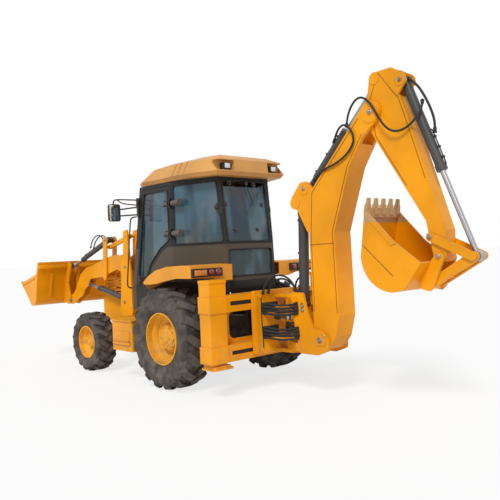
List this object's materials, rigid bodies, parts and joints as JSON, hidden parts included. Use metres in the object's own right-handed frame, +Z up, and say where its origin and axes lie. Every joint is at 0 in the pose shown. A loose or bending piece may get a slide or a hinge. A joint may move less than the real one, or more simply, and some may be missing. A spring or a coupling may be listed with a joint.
{
  "type": "backhoe loader",
  "caption": "Wheeled backhoe loader with a glazed cab, a front bucket on lift arms and a rear digging arm on a side-shift frame with stabiliser legs.",
  "frame": {"origin": "on the ground, on the centre line, under the middle of the overall length", "axes": "+X forward, +Y to the machine's left, +Z up"},
  "size_m": [8.202, 2.27, 3.6149],
  "materials": {
    "body_paint": "semi-gloss",
    "roof_paint": "satin",
    "cab_paint": "satin",
    "rim_paint": "satin",
    "cylinder_paint": "satin",
    "axle_paint": "satin",
    "chrome_rod": "polished",
    "pin_steel": "satin",
    "engine_iron": "rough",
    "glass": "clear",
    "dark_plastic": "matte",
    "tyre": "matte"
  },
  "bodies": {
    "chassis": {"main_frame": "body_paint", "slide_frame": "body_paint", "hood": "body_paint", "engine_block": "engine_iron", "front_axle": "axle_paint", "rear_axle": "axle_paint", "cab_shell": "cab_paint", "cab_roof": "roof_paint", "cab_glass": "glass", "fenders": "roof_paint", "tank_boxes": "body_paint", "seat": "dark_plastic", "cab_controls": "dark_plastic", "lamps": "dark_plastic", "mirrors": "dark_plastic"},
    "knuckle_left": {"knuckle_left": "axle_paint"},
    "knuckle_right": {"knuckle_right": "axle_paint"},
    "wheel_front_left": {"tyre_front_left": "tyre", "rim_front_left": "rim_paint"},
    "wheel_front_right": {"tyre_front_right": "tyre", "rim_front_right": "rim_paint"},
    "wheel_rear_left": {"tyre_rear_left": "tyre", "rim_rear_left": "rim_paint"},
    "wheel_rear_right": {"tyre_rear_right": "tyre", "rim_rear_right": "rim_paint"},
    "door_left": {"door_left": "body_paint", "door_glass_left": "glass"},
    "door_right": {"door_right": "body_paint", "door_glass_right": "glass"},
    "loader_arms": {"loader_arms": "body_paint"},
    "tilt_levers": {"tilt_levers": "body_paint"},
    "levelling_links": {"levelling_links": "body_paint"},
    "bucket_pins": {"bucket_pins": "pin_steel"},
    "tilt_pins": {"tilt_pins": "pin_steel"},
    "lift_barrels": {"lift_cylinder_barrel": "cylinder_paint"},
    "lift_rods": {"lift_cylinder_rod": "chrome_rod"},
    "tilt_barrels": {"tilt_cylinder_barrel": "cylinder_paint"},
    "tilt_rods": {"tilt_cylinder_rod": "chrome_rod"},
    "loader_bucket": {"loader_bucket": "body_paint"},
    "stabiliser_left": {"stabiliser_left": "body_paint"},
    "stabiliser_right": {"stabiliser_right": "body_paint"},
    "carriage": {"carriage": "body_paint", "swing_barrels": "cylinder_paint"},
    "swing_rod_left": {"swing_rod_left": "chrome_rod"},
    "swing_rod_right": {"swing_rod_right": "chrome_rod"},
    "swing_post": {"swing_post": "body_paint"},
    "boom": {"boom": "body_paint"},
    "boom_barrel": {"boom_cylinder_barrel": "cylinder_paint"},
    "boom_rod": {"boom_cylinder_rod": "chrome_rod"},
    "dipper": {"dipper": "body_paint"},
    "dipper_barrel": {"dipper_cylinder_barrel": "cylinder_paint"},
    "dipper_rod": {"dipper_cylinder_rod": "chrome_rod"},
    "guide_links": {"guide_links": "body_paint"},
    "bucket_link": {"bucket_link": "body_paint"},
    "dig_bucket": {"dig_bucket": "body_paint"},
    "bucket_barrel": {"bucket_cylinder_barrel": "cylinder_paint"},
    "bucket_rod": {"bucket_cylinder_rod": "chrome_rod"}
  },
  "joints": [
    {"name": "wheel_rear_left_spin", "type": "hinge", "parent": "chassis", "child": "wheel_rear_left", "pos_m": [-0.2, 0.895, 0.665], "axis": [0, 1, 0], "continuous": true},
    {"name": "wheel_front_left_spin", "type": "hinge", "parent": "knuckle_left", "child": "wheel_front_left", "pos_m": [1.94, 0.878, 0.455], "axis": [0, 1, 0], "continuous": true},
    {"name": "wheel_rear_right_spin", "type": "hinge", "parent": "chassis", "child": "wheel_rear_right", "pos_m": [-0.2, -0.895, 0.665], "axis": [0, 1, 0], "continuous": true},
    {"name": "wheel_front_right_spin", "type": "hinge", "parent": "knuckle_right", "child": "wheel_front_right", "pos_m": [1.94, -0.878, 0.455], "axis": [0, 1, 0], "continuous": true},
    {"name": "steer_left", "type": "hinge", "parent": "chassis", "child": "knuckle_left", "pos_m": [1.94, 0.74, 0.455], "axis": [0, 0, 1], "range_deg": [-30, 30]},
    {"name": "steer_right", "type": "hinge", "parent": "chassis", "child": "knuckle_right", "pos_m": [1.94, -0.74, 0.455], "axis": [0, 0, 1], "range_deg": [-30.5, 30.5]},
    {"name": "door_left_hinge", "type": "hinge", "parent": "chassis", "child": "door_left", "pos_m": [-0.015, 0.725, 1.8], "axis": [0, 0, 1], "range_deg": [0, 95]},
    {"name": "door_right_hinge", "type": "hinge", "parent": "chassis", "child": "door_right", "pos_m": [-0.015, -0.725, 1.8], "axis": [0, 0, -1], "range_deg": [0, 95]},
    {"name": "loader_lift", "type": "hinge", "parent": "chassis", "child": "loader_arms", "pos_m": [1.4, 0, 1.6], "axis": [0, -1, 0], "range_deg": [-26.5, 64]},
    {"name": "tilt_levers_turn", "type": "hinge", "parent": "loader_arms", "child": "tilt_levers", "pos_m": [2.04, 0, 1.45], "axis": [0, -1, 0], "range_deg": [-64.5, 27]},
    {"name": "levelling_links_turn", "type": "hinge", "parent": "tilt_levers", "child": "levelling_links", "pos_m": [2, 0, 1.922], "axis": [0, -1, 0], "range_deg": [-27, 64.5]},
    {"name": "bucket_pins_turn", "type": "hinge", "parent": "loader_arms", "child": "bucket_pins", "pos_m": [3.28, 0, 1.045], "axis": [0, -1, 0], "range_deg": [-64.5, 27]},
    {"name": "tilt_pins_turn", "type": "hinge", "parent": "tilt_levers", "child": "tilt_pins", "pos_m": [1.99, 0, 2.04], "axis": [0, -1, 0], "range_deg": [-27, 64.5]},
    {"name": "lift_barrels_turn", "type": "hinge", "parent": "chassis", "child": "lift_barrels", "pos_m": [1.44, 0, 1.06], "axis": [0, -1, 0], "range_deg": [-22.77, 54.28]},
    {"name": "lift_rods_slide", "type": "slide", "parent": "lift_barrels", "child": "lift_rods", "axis": [0.9797, 0, 0.2004], "range_m": [-0.21278, 0.51104]},
    {"name": "bucket_tilt", "type": "hinge", "parent": "bucket_pins", "child": "loader_bucket", "pos_m": [3.28, 0, 1.045], "axis": [0, -1, 0], "range_deg": [-80, 3]},
    {"name": "tilt_barrels_turn", "type": "hinge", "parent": "tilt_pins", "child": "tilt_barrels", "pos_m": [1.99, 0, 2.04], "axis": [0, -1, 0], "range_deg": [-4.1, 0.64]},
    {"name": "tilt_rods_slide", "type": "slide", "parent": "tilt_barrels", "child": "tilt_rods", "axis": [0.9506, 0, -0.3105], "range_m": [-0.02975, 0.74193]},
    {"name": "stabiliser_left_drop", "type": "slide", "parent": "chassis", "child": "stabiliser_left", "axis": [0, 0, -1], "range_m": [0, 0.45]},
    {"name": "stabiliser_right_drop", "type": "slide", "parent": "chassis", "child": "stabiliser_right", "axis": [0, 0, -1], "range_m": [0, 0.45]},
    {"name": "side_shift", "type": "slide", "parent": "chassis", "child": "carriage", "axis": [0, 1, 0], "range_m": [-0.38, 0.38]},
    {"name": "swing", "type": "hinge", "parent": "carriage", "child": "swing_post", "pos_m": [-1.57, 0, 0.85], "axis": [0, 0, -1], "range_deg": [-90, 90]},
    {"name": "swing_rod_left_slide", "type": "slide", "parent": "carriage", "child": "swing_rod_left", "axis": [-1, 0, 0], "range_m": [-0.102, 0.102]},
    {"name": "swing_rod_right_slide", "type": "slide", "parent": "carriage", "child": "swing_rod_right", "axis": [-1, 0, 0], "range_m": [-0.102, 0.102]},
    {"name": "boom_lift", "type": "hinge", "parent": "swing_post", "child": "boom", "pos_m": [-2.15, 0, 0.68], "axis": [0, -1, 0], "range_deg": [-3, 117]},
    {"name": "boom_barrel_turn", "type": "hinge", "parent": "swing_post", "child": "boom_barrel", "pos_m": [-1.76, 0, 1.085], "axis": [0, -1, 0], "range_deg": [-3.33, 111.03]},
    {"name": "boom_rod_slide", "type": "slide", "parent": "boom_barrel", "child": "boom_rod", "axis": [-0.0408, 0, 0.9992], "range_m": [-0.02613, 0.94298]},
    {"name": "dipper_turn", "type": "hinge", "parent": "boom", "child": "dipper", "pos_m": [-2.96, 0, 3.19], "axis": [0, 1, 0], "range_deg": [-8, 110]},
    {"name": "dipper_barrel_turn", "type": "hinge", "parent": "boom", "child": "dipper_barrel", "pos_m": [-1.96, 0, 2.47], "axis": [0, 1, 0], "range_deg": [-2.18, 0.62]},
    {"name": "dipper_rod_slide", "type": "slide", "parent": "dipper_barrel", "child": "dipper_rod", "axis": [-0.6953, 0, 0.7187], "range_m": [-0.58627, 0.04449]},
    {"name": "dig_bucket_turn", "type": "hinge", "parent": "dipper", "child": "dig_bucket", "pos_m": [-3.69, 0, 1.62], "axis": [0, 1, 0], "range_deg": [-8, 138]},
    {"name": "guide_links_turn", "type": "hinge", "parent": "dipper", "child": "guide_links", "pos_m": [-3.6, 0, 1.815], "axis": [0, 1, 0], "range_deg": [-5.86, 93.03]},
    {"name": "bucket_link_turn", "type": "hinge", "parent": "guide_links", "child": "bucket_link", "pos_m": [-4.04, 0, 1.61], "axis": [0, 1, 0], "range_deg": [-12.54, 1.2]},
    {"name": "bucket_barrel_turn", "type": "hinge", "parent": "dipper", "child": "bucket_barrel", "pos_m": [-3.32, 0, 3.465], "axis": [0, 1, 0], "range_deg": [-0.54, 0.5]},
    {"name": "bucket_rod_slide", "type": "slide", "parent": "bucket_barrel", "child": "bucket_rod", "axis": [-0.3618, 0, -0.9322], "range_m": [-0.70348, 0.04267]}
  ],
  "couplings": [
    {"joint": "steer_right", "follows": "steer_left", "ratio": 1},
    {"joint": "tilt_levers_turn", "follows": "loader_lift", "ratio": -1},
    {"joint": "levelling_links_turn", "follows": "loader_lift", "ratio": 1},
    {"joint": "bucket_pins_turn", "follows": "loader_lift", "ratio": -1},
    {"joint": "tilt_pins_turn", "follows": "loader_lift", "ratio": 1},
    {"joint": "lift_barrels_turn", "follows": "loader_lift", "ratio": 0.84034},
    {"joint": "lift_rods_slide", "follows": "loader_lift", "m_per_rad": 0.45572},
    {"joint": "tilt_barrels_turn", "follows": "bucket_tilt", "ratio": 0.045},
    {"joint": "tilt_rods_slide", "follows": "bucket_tilt", "m_per_rad": -0.52993},
    {"joint": "swing_rod_left_slide", "follows": "swing", "m_per_rad": -0.063662},
    {"joint": "swing_rod_right_slide", "follows": "swing", "m_per_rad": 0.063662},
    {"joint": "boom_barrel_turn", "follows": "boom_lift", "ratio": 0.94469},
    {"joint": "boom_rod_slide", "follows": "boom_lift", "m_per_rad": 0.4608},
    {"joint": "dipper_barrel_turn", "follows": "dipper_turn", "ratio": -0.01531},
    {"joint": "dipper_rod_slide", "follows": "dipper_turn", "m_per_rad": -0.30433},
    {"joint": "guide_links_turn", "follows": "dig_bucket_turn", "ratio": 0.67053},
    {"joint": "bucket_link_turn", "follows": "dig_bucket_turn", "ratio": -0.087235},
    {"joint": "bucket_barrel_turn", "follows": "dig_bucket_turn", "ratio": -0.000285},
    {"joint": "bucket_rod_slide", "follows": "dig_bucket_turn", "m_per_rad": -0.29125}
  ]
}
